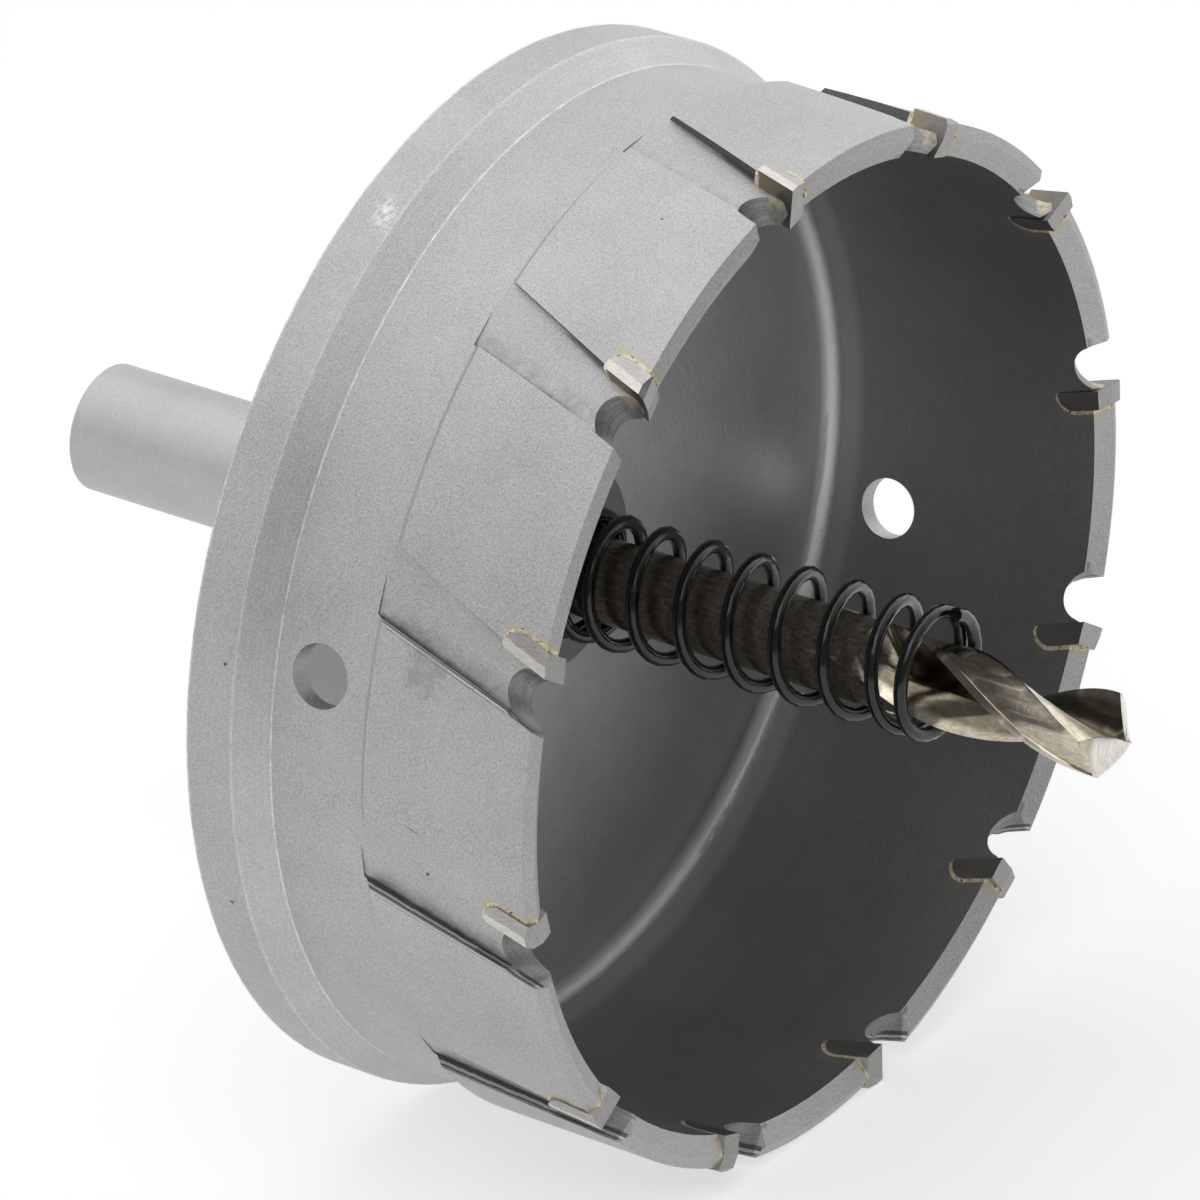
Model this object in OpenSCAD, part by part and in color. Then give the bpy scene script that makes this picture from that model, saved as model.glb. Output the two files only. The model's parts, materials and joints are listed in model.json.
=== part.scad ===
// Carbide-tipped hole cutter with a plain shank, a pilot drill and an ejector spring.
// All lengths in millimetres. The cutter is built along its own axis, with the flange's
// back at z = 0 and the teeth forward, and is then laid down as it comes to rest.

/* [Cup] */
// Radius at the cutting corners, half the bored hole
cut_r = 50; // [30:0.05:60]
// How far the barrel lies inside the cutting corners
side_clearance = 0.45; // [0.3:0.01:1.2]
// Thickness of the barrel's wall
wall_t = 3.05; // [2.2:0.01:4]
// Height of the step between the plain body and the barrel
step_h = 0.9; // [0.4:0.01:1.5]
// How far the flange stands out from the plain body
flange_overhang = 2.05; // [1:0.05:6]
// Width of the flange's rim
flange_w = 4.9; // [2:0.1:8]
// Length of the cone between the flange and the plain body
shoulder_len = 2.95; // [1:0.05:5]
// Distance from the flange's back to the barrel's back edge
step_z = 18.75; // [16:0.05:24]
// Length of the cup, from the flange's back to the crest of its rim
cup_len = 36.4; // [32:0.1:50]
// Thickness of the cup's floor
floor_t = 5; // [3:0.1:8]
// Radius of the fillet round the cup's floor
floor_fillet = 1.8; // [0.5:0.1:4]
// Width of the bevel on the outside of the rim
rim_bevel_w = 1.15; // [0.4:0.05:1.6]
// Drop of that bevel at its outer edge
rim_bevel_drop = 0.55; // [0.05:0.05:1]
// Drop of the rim's end face at the bore
rim_dish_drop = 1.1; // [0.1:0.05:1.5]
// Diameter of the two holes through the cup's wall
cross_hole_d = 6; // [3:0.1:8]
// Distance of those holes from the flange's back
cross_hole_z = 12.65; // [8:0.05:15]
// Angle of the first hole past a cutting corner
cross_hole_turn = 7.4; // [0:0.1:30]

/* [Teeth] */
// Number of carbide tips
tooth_count = 12; // [12:12]
// Angle of the last cutting corner past the cutter's own zero
rest_turn = 13.45; // [9:0.05:21]
// Angle that the cutter has rolled on its flange, as it lies
rest_roll = -2.9; // [-6:0.1:6]
// How far the tips stand forward of the rim
tip_forward = 0.1; // [0.05:0.05:1.5]
// How far the tips stand inward of the cup's wall
tip_inward = 0.15; // [0.1:0.05:0.8]
// Thickness of a tip, square to its cutting face
tip_t = 2.05; // [1.5:0.05:3]
// Length of a tip along its cutting edge
tip_len = 5.3; // [4:0.1:8]
// Radius of the rounded back corner of a tip
tip_round = 1.4; // [0.5:0.05:1.9]
// Radius of the corner between a tip's face and its bottom
tip_face_round = 0.5; // [0.2:0.05:0.6]
// Width of the ground margin beside the cutting edge
tip_margin = 0.9; // [0.4:0.05:1.2]
// Drop of the relieved outer face behind the margin
tip_relief = 0.35; // [0.1:0.05:0.8]
// Clearance angle on the front of a tip
tip_front_clearance = 4; // [2:0.5:12]
// Lean of the cutting edges to the cutter's axis
tooth_lean = 19; // [8:0.5:25]
// Angle by which a cutting face leads its radius towards the bore
face_turn = 12; // [0:0.5:20]
// Size of the bevel on the outer corner of every second tip
tip_corner_bevel = 0.45; // [0.2:0.05:1.5]
// Slope of the inner half of those tips' fronts
tip_inner_slope = 15; // [4:0.5:30]
// Slope of the fronts of the other tips
tip_front_slope = 4; // [1:0.5:20]
// Thickness of the brazed seam
braze_t = 0.4; // [0.2:0.05:0.7]

/* [Flutes] */
// Width of a flute, half-way along it
flute_w = 5.85; // [4:0.05:9]
// Lean of a flute's back wall, which narrows it towards the rim
flute_back_lean = 22.5; // [10:0.5:30]
// Lean of its front wall
flute_front_lean = 16.5; // [5:0.5:25]
// Depth of a flute in the barrel, at the middle of its width
flute_depth = 1.05; // [0.4:0.01:1.4]
// How far the flute's back wall lies behind the cutting face
flute_back = 0.72; // [0.4:0.01:1.8]
// How far a flute runs past the step, into the plain body
flute_run = 0.25; // [0.1:0.05:0.6]
// Width of a gullet, from the cutting face
gullet_w = 4.7; // [4.6:0.05:8]
// Radius at the root of a gullet
gullet_r = 2.3; // [1:0.05:2.5]
// Depth of a gullet from the tips' front, at the outer face
gullet_depth = 4.45; // [3:0.05:7]
// Rise of the gullet's root towards the bore
gullet_slope = 36; // [0:1:45]

/* [Arbor] */
// Diameter of the shank
shank_d = 12.7; // [9.5:0.05:14]
// Distance from the flange's back to the end of the shank
shank_reach = 48.3; // [40:0.1:80]
// Bevel on the end of the shank
shank_bevel = 0.3; // [0.1:0.05:1]
// Diameter of the hub behind the flange
hub_d = 22; // [21:0.5:30]
// Length of the hub behind the flange
hub_len = 9; // [8:0.5:18]
// Bevel on the back of the hub
hub_bevel = 0.8; // [0.2:0.1:2]
// Diameter of the spigot that passes through the cup's floor
spigot_d = 20; // [15:0.5:21]
// Height of the spigot above the cup's floor
spigot_proud = 1; // [0.3:0.1:3]
// Depth of the drill's seat behind the flange's back
seat_depth = 15; // [12:0.5:30]

/* [Grub screw] */
// Diameter of the grub screw
screw_d = 5; // [3:0.5:6]
// Length of the grub screw
screw_len = 5; // [4:0.5:7]
// Distance of the grub screw behind the flange's back
screw_back = 4.5; // [3:0.5:5.5]
// Width across the flats of its socket
socket_af = 2.5; // [1.5:0.5:3]
// Depth of its socket
socket_depth = 2.5; // [1:0.1:3]
// Depth of the flat on the drill under the screw
drill_flat_depth = 0.4; // [0.2:0.05:0.8]

/* [Pilot drill] */
// Diameter of the drill
drill_d = 8; // [6:0.1:8.4]
// Distance from the flange's back to the corners of the drill
drill_corner_z = 65.4; // [55:0.1:80]
// Point angle of the drill
point_angle = 118; // [118:1:140]
// Length of the flutes, back from the corners
drill_flute_len = 25; // [15:0.5:30]
// Clearance angle behind the drill's lips
lip_clearance = 10; // [6:0.5:14]
// Length over which the flutes run out
drill_run_out = 5; // [2:0.5:10]
// Helix angle of the flutes
drill_helix = 27.5; // [20:0.5:32]
// Thickness of the drill's web
drill_web = 1.5; // [1:0.1:2.5]
// Width of the drill's margins
drill_margin = 0.8; // [0.4:0.1:1.2]
// Depth of the clearance behind the margins
drill_clearance = 0.2; // [0.1:0.05:0.4]
// Angle of the drill's lips round its axis
drill_turn = 326; // [0:1:359]

/* [Ejector spring] */
// Diameter of the spring's wire
wire_d = 1.35; // [0.8:0.05:1.8]
// Outer diameter of the spring
spring_d = 12.9; // [12:0.1:16]
// Front end of the spring
spring_front_z = 48.4; // [38:0.1:55]
// Pitch of the open turns
spring_pitch = 5.25; // [4:0.05:7]
// Closed turns at each end
closed_turns = 0.95; // [0.5:0.05:1.5]
// Turns over which the pitch opens at the seat
opening_turns = 2.2; // [0.5:0.1:3]
// Turns over which the pitch closes at the front
closing_turns = 0.6; // [0.5:0.1:3]
// How far the front of the spring leans off the drill's axis
spring_lean = 0.85; // [0:0.05:1]
// Angle of the spring's seated end
spring_turn = 247; // [0:1:359]

/* [Hidden] */
$fn = 96;
// clearance of a cutting solid past the face that it cuts
past = 1;
tooth_pitch = 360 / tooth_count;
barrel_r = cut_r - side_clearance;
body_r = barrel_r - step_h;
flange_r = body_r + flange_overhang;
cup_inner_r = barrel_r - wall_t;
flute_floor_r = barrel_r - flute_depth;
tip_front_z = cup_len + tip_forward;
tip_inner_r = cup_inner_r - tip_inward;
// height of the cone that ends the drill
point_len = drill_d / 2 / tan(point_angle / 2);
drill_apex_z = drill_corner_z + point_len;
drill_flute_z = drill_corner_z - drill_flute_len;
// the fluted length is ground a little under the shank
fluted_r = drill_d / 2 - 0.02;
// shape of the drill's flutes: where the heel starts and ends, past a lip
heel_start = 60;
heel_end = 122;
heel_power = 1.6;
flute_steps = 19;
land_steps = 5;
drill_ring_step = 0.6;
point_steps = 7;
// length over which the fall behind the lips begins, and the flat left at the apex
point_blend = 4;
point_flat = 0.05;
hub_back_z = -hub_len;
spring_seat_z = floor_t + spigot_proud;
rim_edge_z = cup_len - rim_bevel_drop;

// At rest the flange's front edge and the barrel's rim, between two teeth, touch the
// ground, so the cutter lies nose-down.
rest_tilt = atan((flange_r - barrel_r) / (rim_edge_z - flange_w));
axis_height = flange_r * cos(rest_tilt) + flange_w * sin(rest_tilt);
back_x = -shank_reach * cos(rest_tilt) - shank_d / 2 * sin(rest_tilt);
front_x = drill_apex_z * cos(rest_tilt);

// Lays the cutter down: its axis forward along +X and nose-down, its top towards +Z.
module at_rest() {
    translate([-(back_x + front_x) / 2, 0, axis_height])
        rotate([0, 90 + rest_tilt, 0])
            rotate([0, 0, 180 + rest_roll])
                children();
}

// The frame of tooth k: x outwards, y in the cutting direction from the cutting edge,
// z forward along that edge, which leans by tooth_lean.
module at_tooth(k) {
    rotate([0, 0, rest_turn + k * tooth_pitch])
        translate([0, 0, tip_front_z])
            rotate([-tooth_lean, 0, 0])
                children();
}

// The cutting face: turned about the cutting edge, so that it leads towards the bore.
module at_face() {
    translate([cut_r, 0, 0])
        rotate([0, 0, -face_turn])
            translate([-cut_r, 0, 0])
                children();
}

// Outline of a tip or its pocket seen from outside, in the tooth's y and z. It grows by
// g at its back and bottom and rounds both bottom corners.
module tip_outline(g) {
    back = tip_t + g;
    bottom = tip_len + g;
    r_back = tip_round + g;
    difference() {
        translate([-back, -bottom])
            square([back, bottom + tip_len]);
        difference() {
            translate([-back - past, -bottom - past])
                square([r_back + past, r_back + past]);
            translate([-back + r_back, -bottom + r_back])
                circle(r_back);
        }
        difference() {
            translate([-tip_face_round, -bottom - past])
                square([tip_face_round + past, tip_face_round + past]);
            translate([-tip_face_round, -bottom + tip_face_round])
                circle(tip_face_round);
        }
    }
}

// The same outline as a bar through the wall, from inner to outer height x.
module tip_bar(x_in, x_out, g) {
    translate([x_in, 0, 0])
        rotate([90, 0, 90])
            linear_extrude(x_out - x_in)
                tip_outline(g);
}

// The gullet ahead of a cutting face, in that face's frame.
module gullet() {
    root_z = -gullet_depth * cos(gullet_slope) / cos(tooth_lean) + gullet_r;
    translate([barrel_r, 0, 0])
        rotate([0, gullet_slope, 0])
            translate([-barrel_r / 2, 0, 0]) {
                for (y = [gullet_r, gullet_w - gullet_r])
                    translate([0, y, root_z])
                        rotate([0, 90, 0])
                            cylinder(r = gullet_r, h = barrel_r);
                translate([0, gullet_r, root_z - gullet_r])
                    cube([barrel_r, gullet_w - 2 * gullet_r, gullet_r]);
                translate([0, 0, root_z])
                    cube([barrel_r, gullet_w, cup_len]);
            }
}

// Outline of a flute seen from outside, about its middle: y in the cutting direction, z
// forward.
module flute_outline() {
    reach = cup_len / 2;
    back = reach * tan(flute_back_lean);
    front = reach * tan(flute_front_lean);
    polygon([
        [-flute_w / 2 - back, -reach], [flute_w / 2 - front, -reach],
        [flute_w / 2 + front, reach], [-flute_w / 2 + back, reach]
    ]);
}

// Flat-bottomed flutes, which end just past the foot of the step.
module flutes() {
    mid_z = (step_z + cup_len) / 2;
    mid_y = flute_w / 2 - flute_back;
    mid_arc = (mid_y - (tip_front_z - mid_z) * sin(tooth_lean)) / cos(tooth_lean);
    mid_turn = mid_arc / barrel_r * 180 / PI;
    difference() {
        for (k = [1:tooth_count])
            rotate([0, 0, rest_turn + k * tooth_pitch + mid_turn])
                translate([flute_floor_r, 0, mid_z])
                    rotate([90, 0, 90])
                        linear_extrude(barrel_r)
                            flute_outline();
        translate([0, 0, -cup_len])
            cylinder(r = flange_r + barrel_r, h = cup_len + step_z - step_h - flute_run);
    }
}

module cup_profile() {
    shoulder_z = flange_w + shoulder_len;
    crest_r = barrel_r - rim_bevel_w;
    polygon([
        [spigot_d / 2, 0], [flange_r, 0], [flange_r, flange_w],
        [body_r, shoulder_z], [body_r, step_z - step_h], [barrel_r, step_z],
        [barrel_r, rim_edge_z], [crest_r, cup_len],
        [cup_inner_r, cup_len - rim_dish_drop],
        [cup_inner_r, floor_t], [spigot_d / 2, floor_t]
    ]);
    difference() {
        translate([cup_inner_r - floor_fillet, floor_t])
            square(floor_fillet);
        translate([cup_inner_r - floor_fillet, floor_t + floor_fillet])
            circle(floor_fillet);
    }
}

module cutter_body() {
    color([0.62, 0.63, 0.65])
        at_rest()
            difference() {
                rotate_extrude($fn = 180)
                    cup_profile();
                flutes();
                for (k = [1:tooth_count])
                    at_tooth(k)
                        at_face() {
                            gullet();
                            tip_bar(cup_inner_r - past, cut_r + past, braze_t);
                        }
                for (side = [0, 180])
                    rotate([0, 0, rest_turn + 2 * tooth_pitch + cross_hole_turn + side])
                        translate([cup_inner_r - past, 0, cross_hole_z])
                            rotate([0, 90, 0])
                                cylinder(d = cross_hole_d, h = body_r - cup_inner_r + 2 * past);
            }
}

// The space between a tip's outer and inner faces, seen from the front: x outwards, y in
// the cutting direction. The outer face has a margin and a relief. The inner one stands
// inward of the wall at the cutting edge and falls back to it.
module tip_section() {
    behind = 2 * tip_t;
    relief = tip_relief * (behind - tip_margin) / (tip_t - tip_margin);
    polygon([
        [tip_inner_r, tip_t], [cut_r, tip_t], [cut_r, -tip_margin],
        [cut_r - relief, -behind], [cup_inner_r, -behind],
        [cup_inner_r, -tip_t], [tip_inner_r, 0]
    ]);
}

// The space behind a tip's ground front. Every second tip has a bevelled outer corner and
// an inner half that falls towards the bore, and the others fall all the way.
module tip_front(bevelled) {
    depth = 3 * tip_len;
    low = tip_inner_r - past;
    middle = (cut_r + tip_inner_r) / 2;
    translate([0, depth / 2, 0])
        rotate([90, 0, 0])
            linear_extrude(depth)
                polygon(bevelled == 1
                    ? [[low, -depth], [cut_r + past, -depth],
                       [cut_r + past, -tip_corner_bevel - past], [cut_r - tip_corner_bevel, 0],
                       [middle, 0], [low, -(middle - low) * tan(tip_inner_slope)]]
                    : [[low, -depth], [cut_r + past, -depth], [cut_r + past, 0],
                       [cut_r, 0], [low, -(cut_r - low) * tan(tip_front_slope)]]);
}

module carbide_tip(k) {
    color([0.8, 0.79, 0.76])
        at_rest()
            intersection() {
                at_tooth(k)
                    intersection() {
                        at_face()
                            tip_bar(tip_inner_r - past, cut_r + past, 0);
                        translate([0, 0, -2 * tip_len])
                            linear_extrude(3 * tip_len)
                                tip_section();
                    }
                rotate([0, 0, rest_turn + k * tooth_pitch])
                    translate([0, 0, tip_front_z])
                        rotate([tip_front_clearance, 0, 0])
                            tip_front(k % 2);
            }
}

// Solder between a tip and its pocket, flush with the wall.
module braze_seam(k) {
    color([0.85, 0.8, 0.62])
        at_rest()
            intersection() {
                at_tooth(k)
                    at_face()
                        difference() {
                            tip_bar(tip_inner_r - past, cut_r + past, braze_t);
                            tip_bar(tip_inner_r - 2 * past, cut_r + 2 * past, 0);
                        }
                rotate_extrude($fn = 180)
                    intersection() {
                        cup_profile();
                        translate([cup_inner_r, step_z])
                            square([cut_r - cup_inner_r, cup_len]);
                    }
            }
}

module arbor() {
    hub_r = hub_d / 2;
    shank_r = shank_d / 2;
    color([0.6, 0.61, 0.63])
        at_rest()
            difference() {
                rotate_extrude()
                    polygon([
                        [0, -shank_reach], [shank_r - shank_bevel, -shank_reach],
                        [shank_r, -shank_reach + shank_bevel], [shank_r, hub_back_z],
                        [hub_r - hub_bevel, hub_back_z], [hub_r, hub_back_z + hub_bevel],
                        [hub_r, 0], [spigot_d / 2, 0],
                        [spigot_d / 2, spring_seat_z], [0, spring_seat_z]
                    ]);
                translate([0, 0, -seat_depth])
                    cylinder(d = drill_d, h = seat_depth + spring_seat_z + past);
                translate([0, 0, -screw_back])
                    rotate([-90, 0, 0])
                        cylinder(d = screw_d, h = hub_r + past);
            }
}

module grub_screw() {
    color([0.15, 0.15, 0.16])
        at_rest()
            translate([0, drill_d / 2 - drill_flat_depth, -screw_back])
                rotate([-90, 0, 0])
                    difference() {
                        cylinder(d = screw_d, h = screw_len);
                        translate([0, 0, screw_len - socket_depth])
                            cylinder(d = socket_af / cos(30), h = socket_depth + past, $fn = 6);
                    }
}

// Radius that the drill's surface reaches at height z, down to its point.
function drill_r(z) = min(fluted_r, (drill_apex_z - z) * tan(point_angle / 2));

// Angles past a lip, on a section of radius r, where its flute starts and ends.
function lip_angle(r) = asin(min(1, drill_web / 2 / r));
function heel_angle(r) = max(lip_angle(r) + 1,
    heel_start + (heel_end - heel_start) * pow(r / fluted_r, 1 / heel_power));

// Radius at angle b inside a flute: a straight lip face, a hollow and a heel.
function flute_r(b, r) =
    let (heel = (b - heel_start) / (heel_end - heel_start))
    min(r, max(drill_web / 2 / sin(min(b, 90)),
        heel > 0 ? fluted_r * pow(heel, heel_power) : 0));

// Half a turn of the section of radius r, as pairs of an angle and a radius: the flute,
// closest together at the lip, the cleared land and the margin of the next lip.
margin_turn = drill_margin / drill_d * 360 / PI;
function half_section(r) =
    let (lip = lip_angle(r), heel = heel_angle(r), margin = 180 + lip - margin_turn,
         land = min(r, fluted_r - drill_clearance))
    concat(
        [for (i = [0:flute_steps])
            let (b = lip + pow(i / flute_steps, 1.5) * (heel - lip)) [b, flute_r(b, r)]],
        [for (i = [0:land_steps]) [heel + 1 + i / land_steps * (margin - heel - 2), land]],
        [[margin, r], [margin + margin_turn / 2, r]]);

// Part of the flute's depth reached at height z, where it runs out into the shank.
function run_out(z) =
    let (f = (z - drill_flute_z) / drill_run_out) f < 1 ? 1 - pow(1 - f, 2) : 1;

// How far the ground point falls behind its lip, at angle b past the other lip.
function point_fall(z, b, r) =
    let (lip = lip_angle(r), heel = heel_angle(r),
         behind = b > heel ? 180 + lip - b : (b - lip) / (heel - lip) * (180 + lip - heel),
         near = max(0, min(1, 1 - (drill_corner_z - z) / point_blend)))
    near * r * behind * PI / 180 * tan(lip_clearance);

function drill_ring(z) =
    let (r = drill_r(z))
    [for (side = [0, 180], p = half_section(r))
        let (h = z - point_fall(z, p[0], r), q = r - (r - p[1]) * run_out(z),
             turn = drill_turn + (h - drill_corner_z) / (PI * drill_d) * 360 * tan(drill_helix))
        [q * cos(p[0] + side + turn), q * sin(p[0] + side + turn), h]];

// The fluted length and its ground point as one twisted bar.
module fluted_bar() {
    body_rings = ceil(drill_flute_len / drill_ring_step);
    heights = concat(
        [for (i = [0:body_rings - 1]) drill_flute_z + i * drill_flute_len / body_rings],
        [for (i = [0:point_steps - 1]) drill_corner_z + i / point_steps * point_len],
        [drill_apex_z - point_flat]);
    points = [for (z = heights) each drill_ring(z)];
    rings = len(heights) - 1;
    n = len(points) / len(heights);
    skin = [for (i = [0:rings - 1], j = [0:n - 1])
        let (m = (j + 1) % n, a = i * n, b = a + n)
        each [[a + j, b + j, b + m], [a + j, b + m, a + m]]];
    caps = [[for (j = [0:n - 1]) j], [for (j = [n - 1:-1:0]) rings * n + j]];
    polyhedron(points, concat(skin, caps), convexity = 8);
}

module pilot_drill() {
    r = drill_d / 2;
    color([0.5, 0.47, 0.4])
        at_rest() {
            difference() {
                translate([0, 0, -seat_depth])
                    cylinder(r = r, h = seat_depth + drill_flute_z);
                translate([-r, r - drill_flat_depth, -screw_back - screw_d / 2])
                    cube([drill_d, drill_flat_depth + past, screw_d]);
            }
            fluted_bar();
        }
}

// Height of the wire's centre after t turns: closed turns, an opening ramp, open turns, a
// closing ramp and closed turns.
open_gain = spring_pitch - wire_d;
function ramp(t, start, span) =
    t < start ? 0 : t < start + span ? pow(t - start, 2) / (2 * span) : t - start - span / 2;
spring_rise = spring_front_z - spring_seat_z - wire_d;
spring_turns = (spring_rise + open_gain * (2 * closed_turns + (opening_turns + closing_turns) / 2))
    / spring_pitch;
function wire_z(t) =
    wire_d * t + open_gain * (ramp(t, closed_turns, opening_turns)
        - ramp(t, spring_turns - closed_turns - closing_turns, closing_turns));

module ejector_spring() {
    turn_steps = 24;
    sides = 10;
    coil_r = (spring_d - wire_d) / 2;
    rings = ceil(spring_turns * turn_steps);
    points = [for (i = [0:rings], j = [0:sides - 1])
        let (t = i / rings * spring_turns, a = spring_turn + 360 * t, b = 360 * j / sides,
             r = coil_r + wire_d / 2 * cos(b), lean = spring_lean * wire_z(t) / spring_rise)
        [r * cos(a) + lean, r * sin(a),
         spring_seat_z + wire_d / 2 + wire_z(t) + wire_d / 2 * sin(b)]];
    skin = [for (i = [0:rings - 1], j = [0:sides - 1])
        let (n = (j + 1) % sides, a = i * sides, b = a + sides)
        [a + j, a + n, b + n, b + j]];
    caps = [[for (j = [sides - 1:-1:0]) j], [for (j = [0:sides - 1]) rings * sides + j]];
    color([0.05, 0.05, 0.05])
        at_rest()
            polyhedron(points, concat(skin, caps), convexity = 8);
}

cutter_body();
arbor();
pilot_drill();
grub_screw();
ejector_spring();
carbide_tip(1);  // carbide_tip_01
carbide_tip(2);  // carbide_tip_02
carbide_tip(3);  // carbide_tip_03
carbide_tip(4);  // carbide_tip_04
carbide_tip(5);  // carbide_tip_05
carbide_tip(6);  // carbide_tip_06
carbide_tip(7);  // carbide_tip_07
carbide_tip(8);  // carbide_tip_08
carbide_tip(9);  // carbide_tip_09
carbide_tip(10);  // carbide_tip_10
carbide_tip(11);  // carbide_tip_11
carbide_tip(12);  // carbide_tip_12
braze_seam(1);  // braze_seam_01
braze_seam(2);  // braze_seam_02
braze_seam(3);  // braze_seam_03
braze_seam(4);  // braze_seam_04
braze_seam(5);  // braze_seam_05
braze_seam(6);  // braze_seam_06
braze_seam(7);  // braze_seam_07
braze_seam(8);  // braze_seam_08
braze_seam(9);  // braze_seam_09
braze_seam(10);  // braze_seam_10
braze_seam(11);  // braze_seam_11
braze_seam(12);  // braze_seam_12
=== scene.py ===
import json
import math
from functools import cached_property
import bpy
import numpy as np
from mathutils import Matrix, Vector

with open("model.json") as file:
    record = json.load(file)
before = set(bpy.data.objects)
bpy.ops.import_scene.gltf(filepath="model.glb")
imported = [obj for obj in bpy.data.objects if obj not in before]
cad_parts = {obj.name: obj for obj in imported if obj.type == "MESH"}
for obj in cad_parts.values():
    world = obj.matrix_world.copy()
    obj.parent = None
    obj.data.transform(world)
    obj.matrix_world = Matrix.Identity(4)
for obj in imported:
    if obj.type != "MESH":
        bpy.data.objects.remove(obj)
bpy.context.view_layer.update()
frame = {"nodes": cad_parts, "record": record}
nodes = frame["nodes"]

# Sizes in metres, as in part.scad. z runs along the cutter's axis from the flange's back.
FLANGE_R, FLANGE_W, BARREL_R, RIM_Z = 0.0507, 0.0049, 0.04955, 0.03585
SHANK_REACH, SHANK_R, APEX_Z, HUB_Z = 0.0483, 0.00635, 0.0678034, -0.009
BORE_R, FLUTE_R, LAND_R = 0.0467, 0.0485, 0.0495
SHOULDER_Z, SHOULDER_EDGE_Z, STEP_Z = 0.0079, 0.00785, 0.0189

# How it lies: on the flange's front edge and the barrel's rim, rolled about its own axis.
TILT = math.atan((FLANGE_R - BARREL_R) / (RIM_Z - FLANGE_W))
ROLL = math.radians(-2.9)
C, S = math.cos(TILT), math.sin(TILT)
BACK_X, FRONT_X = -SHANK_REACH * C - SHANK_R * S, APEX_Z * C
AXIS = Vector((C, 0, -S))
UP = Vector((S, 0, C)) * math.cos(ROLL) + Vector((0, -1, 0)) * math.sin(ROLL)
SIDE = AXIS.cross(UP)
ORIGIN = Vector((-(BACK_X + FRONT_X) / 2, 0, FLANGE_R * C + FLANGE_W * S))

# The teeth. FIRST is the first cutting corner's angle, and ARC_BEFORE the arc kept before a corner.
TEETH, FIRST = 12, 13.45
ARC_R, ARC_BEFORE = 0.0494, 0.007
# Lines along the barrel: the arc past the corner where they cross z = LINE_Z, and their lean.
LINE_Z = 0.027575
TIP_FACE, FLUTE_BACK, FLUTE_FRONT = (-0.003073, 19), (-0.003666, 22.5), (0.002184, 16.5)
TIP_HALF, TIP_END_Z = 0.001225, 0.0365

# Tones of the blasted outside, the bore and the arbor, and the tints that go with them. The bore's lower
# tone and the collar's tint are painted shade.
OUTER, INNER_SHADE, SHANK = 0.455, 0.37, 0.44
OUTER_TINT, INNER_TINT, SHANK_TINT = (1.0, 0.992, 0.998), (1.0, 0.985, 0.99), (1.0, 0.995, 0.985)
COLLAR_SHADE_TINT = (0.36, 0.35, 0.345)

# Colours of wear, dirt and brazing. The first colour and the shank's edge colour are painted highlights
# along edges.
EDGE_GLINT, SCUFF = (0.93, 0.93, 0.94), (0.95, 0.95, 0.96)
SMUDGE, SCRATCH = (0.24, 0.235, 0.22), (0.06, 0.05, 0.04)
SPECK, FAINT_SPECK = (0.05, 0.045, 0.04), (0.13, 0.12, 0.11)
BRAZE_STAIN, BRAZE_RUN, BURNT = (0.52, 0.45, 0.31), (0.66, 0.57, 0.38), (0.11, 0.085, 0.055)
SHANK_NICK, JAW_MARK, SHANK_EDGE_GLINT = (0.86, 0.85, 0.82), (0.25, 0.25, 0.25), (0.9, 0.9, 0.9)

# Dark and light colours that a noise mixes.
DRILL_SHANK = (0.08, 0.07, 0.056), (0.27, 0.236, 0.187)
DRILL_LAND = (0.62, 0.57, 0.49), (0.80, 0.75, 0.66)
DRILL_FLUTE = (0.40, 0.355, 0.27), (0.66, 0.60, 0.48)
DRILL_POINT = (0.60, 0.57, 0.52), (0.82, 0.79, 0.74)
# Painted shade deep in the drill's flutes, and painted highlight streaks on its shank.
DRILL_FLUTE_SHADE, DRILL_GLINT = (0.12, 0.1, 0.065), (0.5, 0.45, 0.37)
# The tips' colours by facing are painted light and shade: a lit strip on the outer faces, and shaded
# cutting and inner faces.
TIP_BACK_DARK, TIP_BACK_LIGHT = (0.31, 0.305, 0.295), (0.47, 0.46, 0.44)
TIP_LIT_STRIP_DARK, TIP_LIT_STRIP_LIGHT = (0.47, 0.46, 0.43), (0.70, 0.68, 0.62)
TIP_RAKE_SHADE = (0.13, 0.122, 0.11), (0.24, 0.228, 0.21)
TIP_NOSE = (0.27, 0.266, 0.262), (0.38, 0.375, 0.37)
TIP_INNER_SHADE, TIP_STAIN = (0.3, 0.295, 0.285), (0.33, 0.25, 0.13)
TIP_BLOTCH, TIP_PIT = (0.42, 0.40, 0.37), (0.16, 0.15, 0.14)

# Noises that several finishes share: scale, detail, roughness.
GRAIN, PITS, MOTTLE, CLOUDS = (5600, 2, 0.65), (1500, 2, 0.6), (700, 3, 0.65), (95, 3, 0.6)
# Radius at which a patch's width round the cutter is counted.
SPOT_R = 0.0496
# Turned rings: frequencies along z, along the radius and round the cutter.
RINGS = 9500, 9500, 5


def at(r, angle, z):
    """A point of the cutter: radius, angle from its zero in degrees, distance along its axis."""
    t = math.radians(angle)
    return ORIGIN + AXIS * z + (UP * math.cos(t) + SIDE * math.sin(t)) * r


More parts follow.
